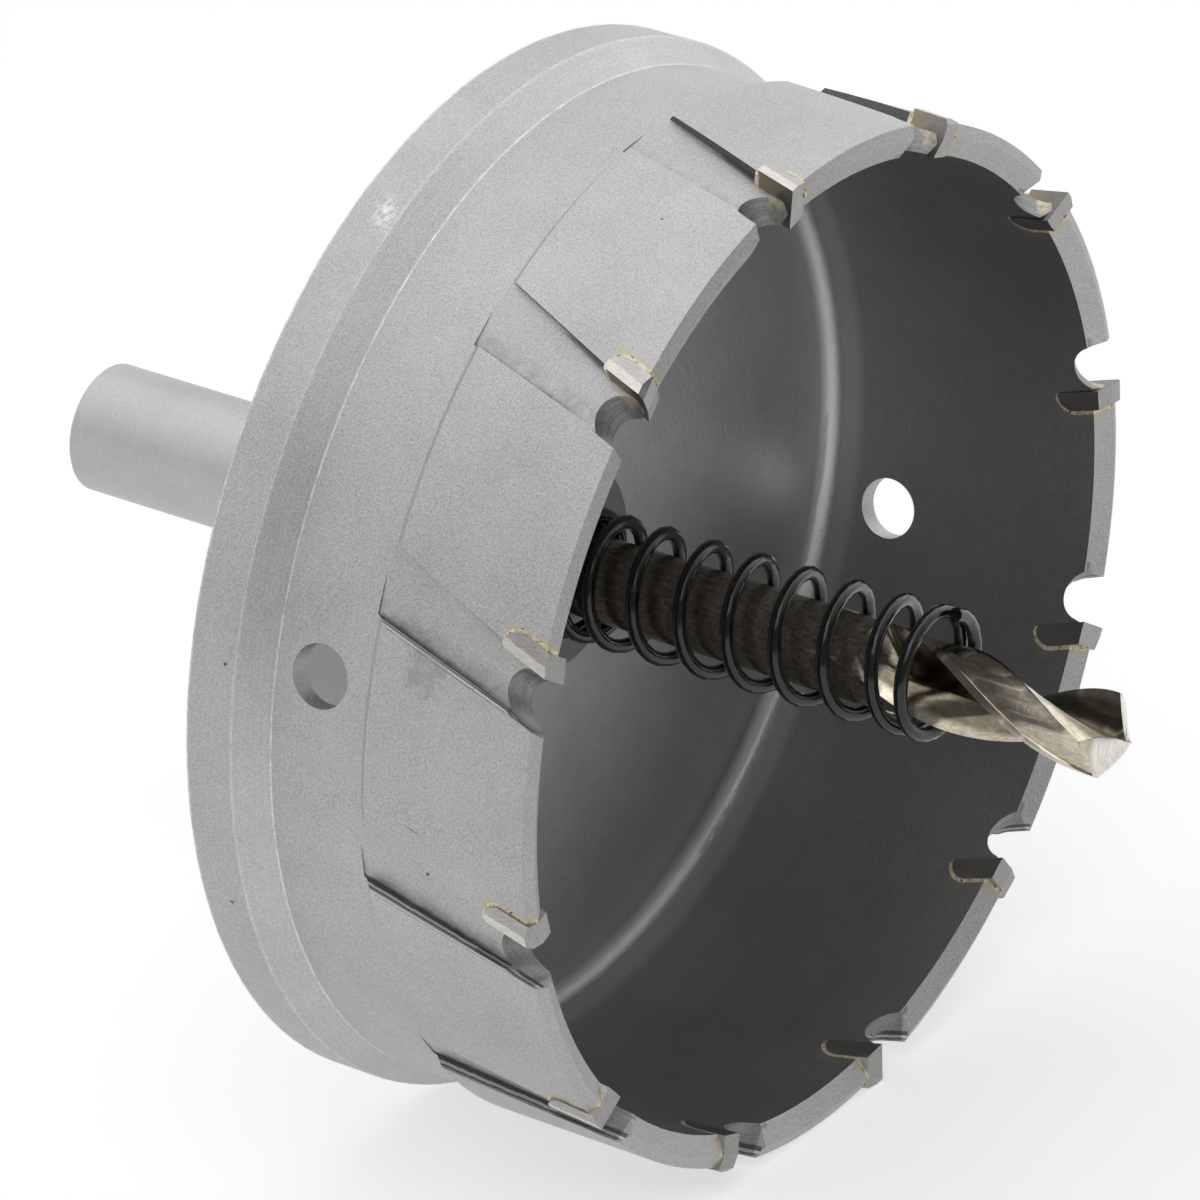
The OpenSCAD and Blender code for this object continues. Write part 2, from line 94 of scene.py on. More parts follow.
class Tree:
    """A node tree, with short calls for the nodes that it uses."""

    def __init__(self, tree):
        self.tree = tree
        tree.nodes.clear()

    def add(self, kind, **values):
        node = self.tree.nodes.new(kind)
        for key, value in values.items():
            setattr(node, key, value)
        return node

    def link(self, a, b):
        self.tree.links.new(a, b)

    def put(self, socket, value):
        """Links a socket to an input, or sets the input to a number or a colour."""
        if isinstance(value, bpy.types.NodeSocket):
            self.link(value, socket)
        elif isinstance(value, tuple) and socket.type == "RGBA":
            socket.default_value = (*value, 1.0)
        else:
            socket.default_value = value

    def math(self, op, *values):
        node = self.add("ShaderNodeMath", operation=op)
        for socket, value in zip(node.inputs, values):
            self.put(socket, value)
        return node.outputs[0]

    def plus(self, out, *parts):
        for part in parts:
            out = self.math("ADD", out, part)
        return out

    def times(self, out, *parts):
        for part in parts:
            out = self.math("MULTIPLY", out, part)
        return out

    def minus(self, a, b):
        return self.math("SUBTRACT", a, b)

    def rest(self, share):
        """What a share leaves of 1."""
        return self.minus(1.0, share)

    def root_of_squares(self, a, b):
        return self.math("SQRT", self.plus(self.times(a, a), self.times(b, b)))

    def vec(self, op, a, b):
        node = self.add("ShaderNodeVectorMath", operation=op)
        self.put(node.inputs[0], a)
        self.put(node.inputs[1], tuple(b))
        return node.outputs["Value" if op in ("DOT_PRODUCT", "DISTANCE") else "Vector"]

    def span(self, value, low, high, to_low=0.0, to_high=1.0, smooth=False):
        """The value's place between low and high, turned into one between to_low and to_high."""
        node = self.add("ShaderNodeMapRange", clamp=True)
        if smooth:
            node.interpolation_type = "SMOOTHSTEP"
        self.put(node.inputs["Value"], value)
        for key, v in (("From Min", low), ("From Max", high), ("To Min", to_low), ("To Max", to_high)):
            self.put(node.inputs[key], v)
        return node.outputs["Result"]


class Nodes(Tree):
    """A new material with one shader, and the cutter's own coordinates to build it on."""

    def __init__(self, name):
        self.mat = bpy.data.materials.new(name)
        self.mat.use_nodes = True
        super().__init__(self.mat.node_tree)
        self.out = self.add("ShaderNodeOutputMaterial")
        self.shader = self.add("ShaderNodeBsdfPrincipled")
        self.link(self.shader.outputs[0], self.out.inputs["Surface"])
        self.coords = self.add("ShaderNodeTexCoord").outputs["Object"]
        self.noises = {}

    @cached_property
    def own(self):
        """The cutter's own coordinates: outward radius, angle from its zero in turns, and z."""
        p = self.vec("SUBTRACT", self.coords, ORIGIN)
        z = self.vec("DOT_PRODUCT", p, AXIS)
        x = self.vec("DOT_PRODUCT", p, UP)
        y = self.vec("DOT_PRODUCT", p, SIDE)
        self.across = x, y
        turn = self.math("DIVIDE", self.math("ARCTAN2", y, x), 2 * math.pi)
        return self.root_of_squares(x, y), turn, z

    @cached_property
    def facing(self):
        """How far the surface faces outwards, in the cutting direction and forward, each -1 to 1."""
        r, _, _ = self.own
        x, y = self.across
        n = self.add("ShaderNodeNewGeometry").outputs["True Normal"]
        nx, ny = self.vec("DOT_PRODUCT", n, UP), self.vec("DOT_PRODUCT", n, SIDE)
        out = self.math("DIVIDE", self.plus(self.times(nx, x), self.times(ny, y)), r)
        along = self.math("DIVIDE", self.minus(self.times(ny, x), self.times(nx, y)), r)
        return out, along, self.vec("DOT_PRODUCT", n, AXIS)

    @cached_property
    def arc(self):
        """Arc past a cutting corner, from ARC_BEFORE before it to the rest of a pitch after it."""
        _, turn, _ = self.own
        whole = 2 * math.pi * ARC_R
        arc = self.minus(self.times(turn, whole), FIRST / 360 * whole)
        arc = self.math("FLOORED_MODULO", self.plus(arc, ARC_BEFORE), whole / TEETH)
        return self.minus(arc, ARC_BEFORE)

    def beyond(self, start, lean):
        """Arc past a line that crosses LINE_Z at start and leans by lean degrees."""
        slope = math.tan(math.radians(lean))
        line = self.math("MULTIPLY_ADD", self.own[2], slope, start - LINE_Z * slope)
        return self.minus(self.arc, line)

    def noise(self, scale, detail, rough):
        """A noise in the object's coordinates, made once for each set of values."""
        key = (scale, detail, rough)
        if key not in self.noises:
            self.noises[key] = self.noise_on(self.coords, *key)
        return self.noises[key]

    def noise_on(self, vector, scale, detail, rough):
        node = self.add("ShaderNodeTexNoise")
        self.link(vector, node.inputs["Vector"])
        node.inputs["Scale"].default_value = scale
        node.inputs["Detail"].default_value = detail
        node.inputs["Roughness"].default_value = rough
        return node.outputs["Fac"]

    def streaks(self, x, y, z, detail=3, rough=0.7):
        """A noise on three coordinates, each a value with its frequency or a plain number."""
        node = self.add("ShaderNodeCombineXYZ")
        for socket, v in zip(node.inputs, (x, y, z)):
            self.put(socket, self.times(*v) if isinstance(v, tuple) else v)
        return self.noise_on(node.outputs[0], 1.0, detail, rough)

    def rings(self):
        r, turn, z = self.own
        return self.streaks(*zip((z, r, turn), RINGS))

    def vary(self, noise, low, high):
        """A noise's usual range, 0.3 to 0.7, spread over low to high."""
        return self.span(noise, 0.3, 0.7, low, high)

    def band(self, value, centre, half, soft):
        """1 within half of centre, falling to 0 over soft."""
        off = self.math("ABSOLUTE", self.minus(value, centre))
        return self.span(off, half, half + soft, 1.0, 0.0, smooth=True)

    def between(self, value, low, high, soft):
        return self.times(self.span(value, low - soft, low), self.span(value, high, high + soft, 1.0, 0.0))

    def spot(self, angle, z, wide, tall, slant, ragged):
        """A ragged patch at an angle in degrees and a z, wide round the cutter and tall along it."""
        _, turn, own_z = self.own
        across = self.times(self.minus(turn, angle / 360), 2 * math.pi * SPOT_R)
        along = self.minus(own_z, z)
        c, s = math.cos(math.radians(slant)), math.sin(math.radians(slant))
        a = self.math("DIVIDE", self.plus(self.times(across, c), self.times(along, s)), wide)
        b = self.math("DIVIDE", self.minus(self.times(along, c), self.times(across, s)), tall)
        far = self.plus(self.root_of_squares(a, b),
                        self.span(self.noise(*PITS), 0.25, 0.75, -ragged, ragged))
        return self.span(far, 0.7, 1.1, 1.0, 0.0)

    def mix(self, share, a, b):
        """Two colours, with the second one's share. The node's colour sockets are 6, 7 and output 2."""
        node = self.add("ShaderNodeMix", data_type="RGBA")
        self.put(node.inputs["Factor"], share)
        self.put(node.inputs[6], a)
        self.put(node.inputs[7], b)
        return node.outputs[2]

    def shade(self, noise, dark, light):
        """Two colours mixed by a noise."""
        return self.mix(self.vary(noise, 0.0, 1.0), dark, light)

    def tint(self, value, factors):
        """A colour from one value and a factor a channel."""
        node = self.add("ShaderNodeCombineColor")
        for socket, k in zip(node.inputs, factors):
            self.put(socket, self.times(value, k))
        return node.outputs[0]

    def bump(self, height, distance, strength):
        node = self.add("ShaderNodeBump")
        node.inputs["Strength"].default_value = strength
        node.inputs["Distance"].default_value = distance
        self.link(height, node.inputs["Height"])
        return node.outputs["Normal"]

    def done(self, colour, rough, metal, normal):
        """Sets the shader's inputs and gives the material."""
        self.put(self.shader.inputs["Base Color"], colour)
        self.put(self.shader.inputs["Roughness"], rough)
        self.put(self.shader.inputs["Metallic"], metal)
        self.put(self.shader.inputs["Normal"], normal)
        return self.mat


def grain_tone(m, level, amount=0.14):
    """A blasted grain about one tone, with faint clouds."""
    grain = m.span(m.noise(*GRAIN), 0.25, 0.75, level - amount, level + amount)
    return m.plus(grain, m.vary(m.noise(*CLOUDS), -0.025, 0.025))


def blasted(m, colour, rough=0.56):
    """Finishes a blasted material: the same grain in its relief and its gloss."""
    grain = m.noise(*GRAIN)
    height = m.plus(m.times(grain, 0.7), m.times(m.noise(*PITS), 0.5))
    return m.done(colour, m.plus(m.vary(grain, -0.06, 0.06), rough), 1.0, m.bump(height, 0.00007, 0.75))


def specks(m, colour, places):
    """Small dark specks: those of the photograph, each a radius, angle and z, and some of chance."""
    nearest = 1.0
    for place in places:
        nearest = m.math("MINIMUM", nearest, m.vec("DISTANCE", m.coords, at(*place)))
    ragged = m.plus(nearest, m.span(m.noise(*PITS), 0.25, 0.75, -0.00007, 0.00007))
    colour = m.mix(m.span(ragged, 0.00012, 0.0002, 0.85, 0.0), colour, SPECK)
    return m.mix(m.times(m.span(m.noise(*MOTTLE), 0.74, 0.78), 0.5), colour, FAINT_SPECK)


def halo(m, colour, amount):
    """The golden stain that the brazing left round each tip, by the distance from its middle line."""
    off_line = m.plus(m.beyond(*TIP_FACE), TIP_HALF)
    up_tip = m.math("DIVIDE", m.minus(TIP_END_Z, m.own[2]), math.cos(math.radians(TIP_FACE[1])))
    past_end = m.math("MAXIMUM", m.minus(up_tip, 0.0038), 0.0)
    off = m.plus(m.root_of_squares(off_line, past_end), m.vary(m.noise(*MOTTLE), -0.0004, 0.0004))
    stain = m.span(off, 0.00125, 0.0019, amount, 0.0, smooth=True)
    return m.mix(stain, colour, BRAZE_STAIN)


def cup_outside():
    """The body, the barrel's lands and the rim."""
    m = Nodes("blasted_steel")
    r, turn, z = m.own
    mottle = m.noise(*MOTTLE)
    # At the third to sixth teeth, the flute's front wall has a painted highlight along its edge, with a
    # painted shade line beside it.
    past = m.beyond(*FLUTE_FRONT)
    by_flute = m.times(m.span(z, 0.0191, 0.0194), m.span(z, 0.0345, 0.0335),
                       m.span(r, 0.0492, 0.0493), m.span(turn, 0.16, 0.18))
    edge_shade_line = m.times(by_flute, m.band(past, 0.00028, 0.00004, 0.0001), m.span(mottle, 0.3, 0.6, 0.1, 0.4))
    painted_glint = m.times(by_flute, m.band(past, 0.00015, 0.00002, 0.00006), m.span(mottle, 0.35, 0.6, 0.08, 0.4))
    # Painted highlight: a bright line along the shoulder's edge.
    edge_glint = m.times(m.band(z, SHOULDER_EDGE_Z, 0.00003, 0.00009), m.span(mottle, 0.35, 0.62, 0.22, 0.75))
    tone = m.times(grain_tone(m, OUTER), m.rest(edge_shade_line))
    colour = m.mix(m.plus(edge_glint, painted_glint), m.tint(tone, OUTER_TINT), EDGE_GLINT)
    smudge = m.times(m.spot(76.6, 0.0241, 0.0026, 0.0021, 0, 0.8), m.vary(mottle, 0.1, 0.5))
    colour = m.mix(smudge, colour, SMUDGE)
    colour = m.mix(m.times(m.spot(93.9, 0.024, 0.0011, 0.00006, 70, 0.25), 0.7), colour, SCRATCH)
    colour = specks(m, colour, ((BARREL_R, 22.16, 0.02748), (BARREL_R, 201, 0.0139)))
    return blasted(m, halo(m, colour, 0.62))


def cup_flange():
    """The flange and the turned shoulder ahead of it."""
    m = Nodes("blasted_steel_flange")
    r, _, z = m.own
    _, _, front = m.facing
    shoulder = m.times(m.span(z, 0.00485, 0.00492), m.span(front, 0.3, 0.45))
    rings = m.times(m.vary(m.rings(), -0.035, 0.035), m.plus(m.times(shoulder, 0.85), 0.15))
    # Painted highlight: the shoulder's tone is lifted by 0.075 where it faces forward, for the light that
    # falls on it. The turned rings are its own.
    tone = m.plus(grain_tone(m, OUTER), m.times(shoulder, 0.075), rings)
    # Painted highlights: bright lines along the flange's front and back edges and along the shoulder's
    # edge.
    front_edge = m.times(m.band(z, FLANGE_W, 0.00005, 0.00014), m.span(r, 0.05045, 0.0506), 0.25)
    shoulder_edge = m.times(m.band(z, SHOULDER_EDGE_Z, 0.00003, 0.00009), 0.45)
    back_edge = m.times(m.band(z, 0.0, 0.00008, 0.0002), m.span(r, 0.0502, 0.0504), 0.5)
    edge_glint = m.times(m.plus(front_edge, shoulder_edge, back_edge),
                   m.span(m.noise(*MOTTLE), 0.35, 0.62, 0.3, 1.0))
    colour = m.mix(edge_glint, m.tint(tone, OUTER_TINT), EDGE_GLINT)
    scuff = m.times(m.spot(32.1, 0.0034, 0.0023, 0.0013, 25, 0.9), m.span(m.noise(*PITS), 0.4, 0.6))
    colour = m.mix(m.times(scuff, 0.5), colour, SCUFF)
    places = (FLANGE_R, 81.85, 0.00379), (FLANGE_R, 110.17, 0.00308), (FLANGE_R, -62, 0.0021)
    return blasted(m, specks(m, colour, places))


def cup_milled():
    """The flutes, gullets and pockets: streaked floors, shadowed walls and brazing that has run."""
    m = Nodes("blasted_steel_milled")
    r, _, z = m.own
    out, along, _ = m.facing
    mottle = m.noise(*MOTTLE)
    # The flutes' floors: scored, with painted shade that darkens them towards the front wall, a painted
    # shadow line at the front wall's foot, and a painted shadow line along the back wall.
    back = m.beyond(*FLUTE_BACK)
    ahead = m.times(m.beyond(*FLUTE_FRONT), -1.0)
    floor = m.times(m.span(r, FLUTE_R + 0.00015, FLUTE_R + 0.0001), m.span(out, 0.9, 0.95))
    streak = m.streaks((back, 7200), (z, 110), 3.0)
    scored = m.times(m.span(streak, 0.56, 0.74), m.span(m.noise(*CLOUDS), 0.4, 0.6), 0.18)
    front_wall_shade = m.plus(m.times(m.span(ahead, 0.0, 0.0024, 1.0, 0.0), m.span(mottle, 0.38, 0.62, 0.03, 0.32)),
                 m.span(ahead, 0.0001, 0.00045, 0.3, 0.0))
    toward = m.span(z, 0.019, 0.033)
    # Painted shadow along the back wall, wider and darker towards the tooth.
    line = m.span(back, m.times(toward, 0.00022), m.plus(m.times(toward, 0.0005), 0.00025), 1.0, 0.0)
    line = m.times(line, m.plus(m.times(toward, 0.3), 0.35))
    tone = m.times(grain_tone(m, OUTER), m.rest(m.times(floor, m.plus(line, front_wall_shade, scored))))
    # Their walls: darkened as painted shade, with two painted highlight lines along the front one.
    wall = m.times(m.span(m.math("ABSOLUTE", along), 0.75, 0.85),
                   m.span(r, FLUTE_R - 0.0001, FLUTE_R + 0.00002))
    level = m.plus(r, m.vary(mottle, -0.00006, 0.00006))
    wall_glint = m.plus(m.times(m.band(level, 0.04905, 0.00008, 0.00012), 0.75),
                 m.times(m.band(level, 0.04945, 0.00004, 0.0001), 0.45))
    tone = m.times(tone, m.span(wall, 0.0, 1.0, 1.0, 0.36))
    tone = m.plus(tone, m.times(wall, m.span(along, 0.0, -0.1), wall_glint, 0.75))
    # The gullets: darkened as painted shade, with the cutter's marks.
    gullet = m.times(m.between(z, 0.0298, 0.03545, 0.0002), m.between(m.arc, -0.0007, 0.0069, 0.0001),
                     m.span(m.math("ABSOLUTE", out), 0.9, 0.82))
    marks = m.streaks((r, 9000), (m.arc, 500), (z, 500))
    tone = m.times(tone, m.span(gullet, 0.0, 1.0, 1.0, 0.62),
                   m.plus(m.times(gullet, m.vary(marks, -0.22, 0.22)), 1.0))
    colour = specks(m, m.tint(tone, OUTER_TINT), ((FLUTE_R, 99.5, 0.02474), (FLUTE_R, 13.92, 0.02299)))
    colour = halo(m, colour, 0.62)
    # Brazing that has run beside the tip, and its burnt edge behind.
    ragged = m.plus(m.beyond(*TIP_FACE), m.vary(mottle, -0.0005, 0.0005))
    run = m.times(gullet, m.span(ragged, 0.0011, 0.0006), m.span(m.noise(*PITS), 0.3, 0.5))
    colour = m.mix(m.times(run, 0.75), colour, BRAZE_RUN)
    burnt = m.times(floor, m.span(back, 0.0, 0.0011, 1.0, 0.0), m.span(z, 0.0275, 0.0325),
                    m.span(mottle, 0.3, 0.6))
    return blasted(m, m.mix(m.times(burnt, 0.7), colour, BURNT))


def cup_inside():
    """The cup's bore and floor: darker as painted shade, smoother, faintly ringed, and paler in the corner
    as a painted highlight.
    """
    m = Nodes("blasted_steel_inside")
    r, _, z = m.own
    # Painted highlight: a paler ring in the corner between the bore and the floor.
    corner = m.times(m.span(r, 0.0444, 0.0452), m.span(z, 0.0092, 0.0082))
    tone = m.plus(grain_tone(m, INNER_SHADE, 0.035), m.vary(m.rings(), -0.018, 0.018), m.times(corner, 0.14))
    return blasted(m, halo(m, m.tint(tone, INNER_TINT), 0.4), 0.4)


def ground_steel():
    """The arbor: a satin shank with faint rings, and a turned hub."""
    m = Nodes("turned_steel")
    r, turn, z = m.own
    rings = m.streaks((z, 5200), (r, 5200), (turn, 4), rough=0.65)
    grain, patch = m.noise(5000, 2, 0.6), m.noise(160, 4, 0.6)
    tone = m.plus(m.vary(rings, -0.018, 0.018), m.span(grain, 0.25, 0.75, -0.04, 0.04),
                  m.vary(patch, -0.03, 0.03), SHANK)
    nick = m.times(m.spot(63, HUB_Z - 0.0003, 0.004, 0.0012, 0, 1.1), m.span(grain, 0.5, 0.58))
    colour = m.mix(m.times(nick, 0.6), m.tint(tone, SHANK_TINT), SHANK_NICK)
    rubbed = m.span(m.streaks((turn, 260), (z, 60), 1.0), 0.6, 0.72)
    colour = m.mix(m.times(m.between(z, -0.045, -0.022, 0.002), rubbed, 0.12), colour, JAW_MARK)
    # Painted highlights: bright lines at the shank's back end and at the hub's edge.
    edge_glint = m.plus(m.band(z, -SHANK_REACH, 0.00006, 0.00025), m.times(m.band(z, HUB_Z, 0.0001, 0.0003), 0.4))
    colour = m.mix(m.times(edge_glint, 0.3), colour, SHANK_EDGE_GLINT)
    # Painted shade: the collar inside the cup is darkened to be as dark as the bore round it.
    colour = m.mix(m.span(z, 0.003, 0.004), colour, m.tint(tone, COLLAR_SHADE_TINT))
    height = m.plus(m.times(rings, 0.6), grain)
    return m.done(colour, m.vary(patch, 0.36, 0.46), 1.0, m.bump(height, 0.00004, 0.5))


def tool_steel():
    """The drill: dark bronze shank, olive flutes and bright ground lands and point."""
    m = Nodes("tool_steel")
    r, turn, z = m.own
    out, _, front = m.facing
    streak = m.streaks((turn, 60), (z, 900), (r, 3000), detail=4, rough=0.65)
    grind = m.streaks((turn, 8), (z, 7000), (r, 500))
    cloud = m.noise(330, 3, 0.6)
    fluted = m.span(m.plus(z, m.vary(cloud, -0.0012, 0.0012)), 0.0412, 0.0436)
    land = m.times(m.span(r, 0.00375, 0.0039), m.span(out, 0.8, 0.93))
    colour = m.mix(land, m.shade(streak, *DRILL_FLUTE), m.shade(grind, *DRILL_LAND))
    # Painted shade: darker deep in the flutes.
    flute_shade = m.times(m.span(r, 0.0034, 0.0027), m.span(cloud, 0.3, 0.6, 0.6, 0.92))
    colour = m.mix(flute_shade, colour, DRILL_FLUTE_SHADE)
    point = m.times(m.span(z, 0.0652, 0.0655), m.span(front, 0.35, 0.45))
    colour = m.mix(point, colour, m.shade(grind, *DRILL_POINT))
    colour = m.mix(fluted, m.shade(streak, *DRILL_SHANK), colour)
    # Painted highlight: short bright streaks on the shank.
    painted_glint = m.times(m.span(m.streaks((turn, 30), (z, 2600), 2.0), 0.6, 0.68), m.rest(fluted))
    colour = m.mix(m.times(painted_glint, 0.5), colour, DRILL_GLINT)
    height = m.plus(m.times(streak, 0.5), m.times(grind, 0.4))
    rough = m.plus(m.vary(cloud, 0.12, 0.2), m.times(m.rest(fluted), 0.06))
    return m.done(colour, rough, m.span(fluted, 0.0, 1.0, 0.65, 1.0), m.bump(height, 0.00002, 0.5))


def black_spring():
    """The spring: glossy black, with some dust."""
    m = Nodes("black_spring")
    wear, dust = m.noise(700, 3, 0.6), m.noise(2600, 3, 0.7)
    colour = m.mix(m.span(wear, 0.6, 0.72), (0.008, 0.0078, 0.008), (0.03, 0.028, 0.026))
    colour = m.mix(m.times(m.span(dust, 0.68, 0.74), 0.3), colour, (0.12, 0.115, 0.11))
    height = m.plus(wear, m.times(dust, 0.3))
    return m.done(colour, m.vary(wear, 0.12, 0.2), 0.0, m.bump(height, 0.00003, 0.35))


def blackened_screw():
    """The grub screw: blackened, worn through in places."""
    m = Nodes("blackened_screw")
    wear = m.noise(900, 3, 0.6)
    colour = m.mix(m.span(wear, 0.4, 0.7), (0.03, 0.03, 0.032), (0.09, 0.086, 0.08))
    colour = m.mix(m.times(m.span(m.noise(2400, 2, 0.6), 0.62, 0.7), 0.5), colour, (0.3, 0.29, 0.27))
    return m.done(colour, m.vary(wear, 0.3, 0.42), 1.0, m.bump(wear, 0.00003, 0.4))


def carbide():
    """The tips, in painted light and shade by the way each face turns: outer faces with a painted highlight
    strip, fronts grey, cutting faces in painted shade and stained.
    """
    m = Nodes("carbide")
    r, _, z = m.own
    out, along, front = m.facing
    lines = m.streaks((m.arc, 9000), (z, 700), (r, 2500), rough=0.65)
    cross = m.streaks((m.arc, 900), (z, 9000), (r, 9000), rough=0.65)
    blotch = m.noise(900, 3, 0.6)
    # Painted highlight: a lighter strip along the outer face, where its lower facet catches the light.
    lit_strip = m.span(m.plus(m.beyond(*TIP_FACE), m.vary(blotch, -0.0001, 0.0001)), -0.00095, -0.00085)
    outer = m.shade(lines, m.mix(lit_strip, TIP_BACK_DARK, TIP_LIT_STRIP_DARK),
                    m.mix(lit_strip, TIP_BACK_LIGHT, TIP_LIT_STRIP_LIGHT))
    # Painted light and shade by facing: fronts grey, cutting faces dark, inner faces dark.
    colour = m.mix(m.span(front, 0.55, 0.7), outer, m.shade(cross, *TIP_NOSE))
    colour = m.mix(m.span(along, 0.6, 0.75), colour, m.shade(cross, *TIP_RAKE_SHADE))
    colour = m.mix(m.span(out, -0.6, -0.75), colour, TIP_INNER_SHADE)
    low = m.span(m.plus(z, m.vary(blotch, -0.0008, 0.0008)), 0.0345, 0.0318)
    colour = m.mix(m.times(low, m.span(along, 0.5, 0.7), 0.6), colour, TIP_STAIN)
    colour = m.mix(m.times(m.span(blotch, 0.55, 0.75), 0.25), colour, TIP_BLOTCH)
    colour = m.mix(m.times(m.span(m.noise(3200, 2, 0.5), 0.7, 0.75), 0.5), colour, TIP_PIT)
    height = m.plus(lines, m.times(cross, 0.5), m.times(blotch, 0.3))
    return m.done(colour, m.vary(blotch, 0.3, 0.44), 1.0, m.bump(height, 0.00003, 0.5))


def braze():
    """The brazed seams: pale gold with pores."""
    m = Nodes("braze")
    blotch = m.noise(1300, 4, 0.6)
    holes = m.span(m.noise(2700, 2, 0.5), 0.62, 0.67)
    colour = m.mix(m.span(blotch, 0.35, 0.65), (0.52, 0.43, 0.25), (0.83, 0.77, 0.60))
    colour = m.mix(m.span(m.noise(4200, 2, 0.6), 0.55, 0.7), colour, (0.9, 0.87, 0.76))
    colour = m.mix(m.times(holes, 0.9), colour, (0.07, 0.055, 0.035))
    height = m.minus(blotch, m.times(holes, 1.4))
    return m.done(colour, m.vary(blotch, 0.4, 0.6), 0.55, m.bump(height, 0.00014, 0.8))


MATERIALS = {"blasted_steel": cup_outside(), "turned_steel": ground_steel(), "tool_steel": tool_steel(),
             "black_spring": black_spring(), "blackened_screw": blackened_screw(), "carbide": carbide(),
             "braze": braze()}
SLOTS = {s["node"]: s["material_slot"] for s in frame["record"]["subparts"]}
for name, obj in nodes.items():
    obj.data.materials.clear()
    obj.data.materials.append(MATERIALS[SLOTS[name]])


def finish_cup(cup):
    """Gives each face of the cup its finish: 0 outside, 1 flange, 2 milled places, 3 inside."""
    for finish in (cup_flange(), cup_milled(), cup_inside()):
        cup.materials.append(finish)
    points = np.empty(len(cup.vertices) * 3)
    cup.vertices.foreach_get("co", points)
    points = points.reshape(-1, 3) - np.array(ORIGIN)
    along_axis = points @ np.array(AXIS)
    from_axis = np.linalg.norm(points - np.outer(along_axis, np.array(AXIS)), axis=1)
    for face in cup.polygons:
        corners = list(face.vertices)
        far, z = from_axis[corners], along_axis[corners].mean()
        if far.max() < BORE_R and z > FLANGE_W:
            face.material_index = 3
        elif z < SHOULDER_Z:
            face.material_index = 1
        elif far.min() < LAND_R and STEP_Z < z < RIM_Z - 0.0001:
            face.material_index = 2


finish_cup(nodes["cutter_body"].data)


def smooth(mesh, angle):
    """Shading normals averaged over the faces at each point that meet within angle degrees."""
    where = np.empty(len(mesh.vertices) * 3)
    mesh.vertices.foreach_get("co", where)
    where = np.round(where.reshape(-1, 3) * 1e6).astype(np.int64)
    same = np.unique(where, axis=0, return_inverse=True)[1].reshape(-1)
    count = len(mesh.loops)
    corner = np.empty(count, dtype=np.int64)
    mesh.loops.foreach_get("vertex_index", corner)
    face = np.empty(count, dtype=np.int64)
    normal = np.empty((len(mesh.polygons), 3))
    area = np.empty(len(mesh.polygons))
    mesh.polygons.foreach_get("area", area)
    for i, p in enumerate(mesh.polygons):
        face[p.loop_start:p.loop_start + p.loop_total] = i
        normal[i] = p.normal
    point = same[corner]
    order = np.argsort(point, kind="stable")
    starts = np.flatnonzero(np.r_[True, np.diff(point[order]) != 0])
    limit, tiny = math.cos(math.radians(angle)), 1e-15
    result = np.empty((count, 3))
    for group in np.split(order, starts[1:]):
        f = face[group]
        n = normal[f]
        mean = ((n @ n.T > limit) * area[f]) @ n
        length = np.linalg.norm(mean, axis=1, keepdims=True)
        result[group] = np.where(length > tiny, mean / np.maximum(length, tiny), n)
    mesh.polygons.foreach_set("use_smooth", np.ones(len(mesh.polygons), dtype=bool))
    mesh.normals_split_custom_set(result.tolist())


# Largest angle, in degrees, that is shaded as a curve. GROUND is for the tips and all the rest.
SMOOTH, GROUND = {"pilot_drill": 38, "ejector_spring": 70, "cutter_body": 28, "arbor": 28}, 8
for name, obj in nodes.items():
    smooth(obj.data, SMOOTH.get(name, GROUND))

FLOOR_HALF, FLOOR_GLOW = 3.0, 0.5


def floor():
    """A pale floor. The camera and the metal see it as white, with the cutter's shadow on it."""
    mesh = bpy.data.meshes.new("floor")
    e = FLOOR_HALF
    mesh.from_pydata([(-e, -e, 0), (e, -e, 0), (e, e, 0), (-e, e, 0)], [], [(0, 1, 2, 3)])
    obj = bpy.data.objects.new("floor", mesh)
    bpy.context.scene.collection.objects.link(obj)
    m = Nodes("floor")
    m.done((0.8, 0.8, 0.8), 0.9, 0.0, m.bump(m.noise(60, 2, 0.5), 0.0005, 0.05))
    path = m.add("ShaderNodeLightPath").outputs
    seen = m.plus(path["Is Camera Ray"], path["Is Glossy Ray"], path["Is Transmission Ray"])
    white = m.add("ShaderNodeEmission")
    m.put(white.inputs["Strength"], m.times(m.math("MINIMUM", seen, 1.0), FLOOR_GLOW))
    both = m.add("ShaderNodeAddShader")
    m.link(m.shader.outputs[0], both.inputs[0])
    m.link(white.outputs[0], both.inputs[1])
    m.link(both.outputs[0], m.out.inputs["Surface"])
    mesh.materials.append(m.mat)


floor()

CENTRE = (0, 0, 0.05)


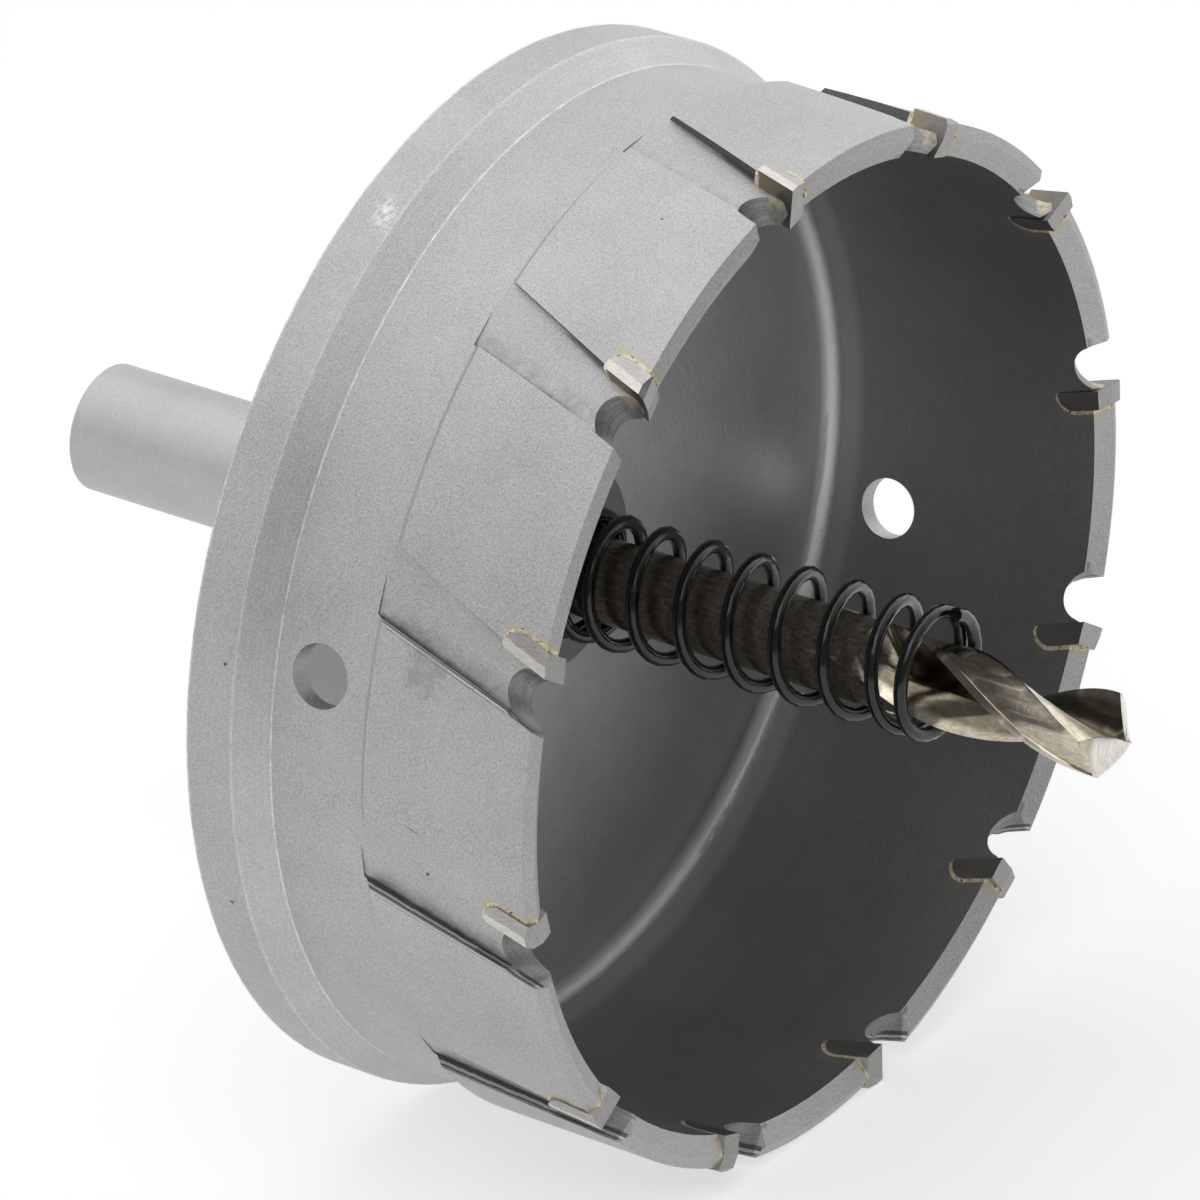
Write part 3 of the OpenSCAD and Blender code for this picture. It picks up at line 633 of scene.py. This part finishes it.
def area(name, place, size, power):
    """A square lamp that points at the cutter."""
    lamp = bpy.data.lights.new(name, "AREA")
    lamp.energy = power
    lamp.shape = "SQUARE"
    lamp.size = size
    obj = bpy.data.objects.new(name, lamp)
    obj.location = place
    obj.rotation_euler = (Vector(CENTRE) - Vector(place)).to_track_quat("-Z", "Y").to_euler()
    bpy.context.scene.collection.objects.link(obj)


area("top", (-0.1, 0.0, 0.8), 1.0, 1.7)
area("left", (-0.65, -0.55, 0.35), 0.8, 1.65)
area("rear", (0.0, 0.75, 0.55), 0.9, 1.3)
area("front_top", (0.35, -0.5, 0.8), 0.6, 1.6)

BACKDROP, AMBIENT = (-0.5, 0.7, 0.5), 0.22


def studio():
    """Dim light all round. The camera sees white, and so does the metal toward the backdrop."""
    world = bpy.data.worlds.new("studio")
    bpy.context.scene.world = world
    world.use_nodes = True
    w = Tree(world.node_tree)
    path = w.add("ShaderNodeLightPath").outputs
    toward = w.vec("DOT_PRODUCT", w.add("ShaderNodeTexCoord").outputs["Generated"], BACKDROP)
    shiny = w.times(w.plus(path["Is Glossy Ray"], path["Is Transmission Ray"]), w.span(toward, -0.1, 0.5))
    seen = w.math("MINIMUM", w.plus(path["Is Camera Ray"], shiny), 1.0)
    back = w.add("ShaderNodeBackground")
    w.put(back.inputs["Color"], (1.0, 1.0, 1.0))
    w.put(back.inputs["Strength"], w.plus(w.times(seen, 1.0 - AMBIENT), AMBIENT))
    w.link(back.outputs[0], w.add("ShaderNodeOutputWorld").inputs["Surface"])


studio()

# Camera, fitted to the photograph: 8000 pixels of focal length on a frame of 1200.
cam_data = bpy.data.cameras.new("camera")
cam_data.lens, cam_data.sensor_width = 240.0, 36.0
cam_data.clip_start, cam_data.clip_end = 0.01, 20
camera = bpy.data.objects.new("camera", cam_data)
right = Vector((0.82162356, 0.56945962, -0.02550426))
upward = Vector((-0.22182513, 0.36062659, 0.90594816))
back_to = Vector((0.52509841, -0.73869087, 0.42261975))
turn = Matrix((right, upward, back_to)).transposed().to_4x4()
camera.matrix_world = Matrix.Translation(Vector((0.39275621, -0.55238079, 0.36425986))) @ turn
bpy.context.scene.collection.objects.link(camera)
bpy.context.scene.camera = camera
bpy.context.scene.view_settings.view_transform = "Standard"
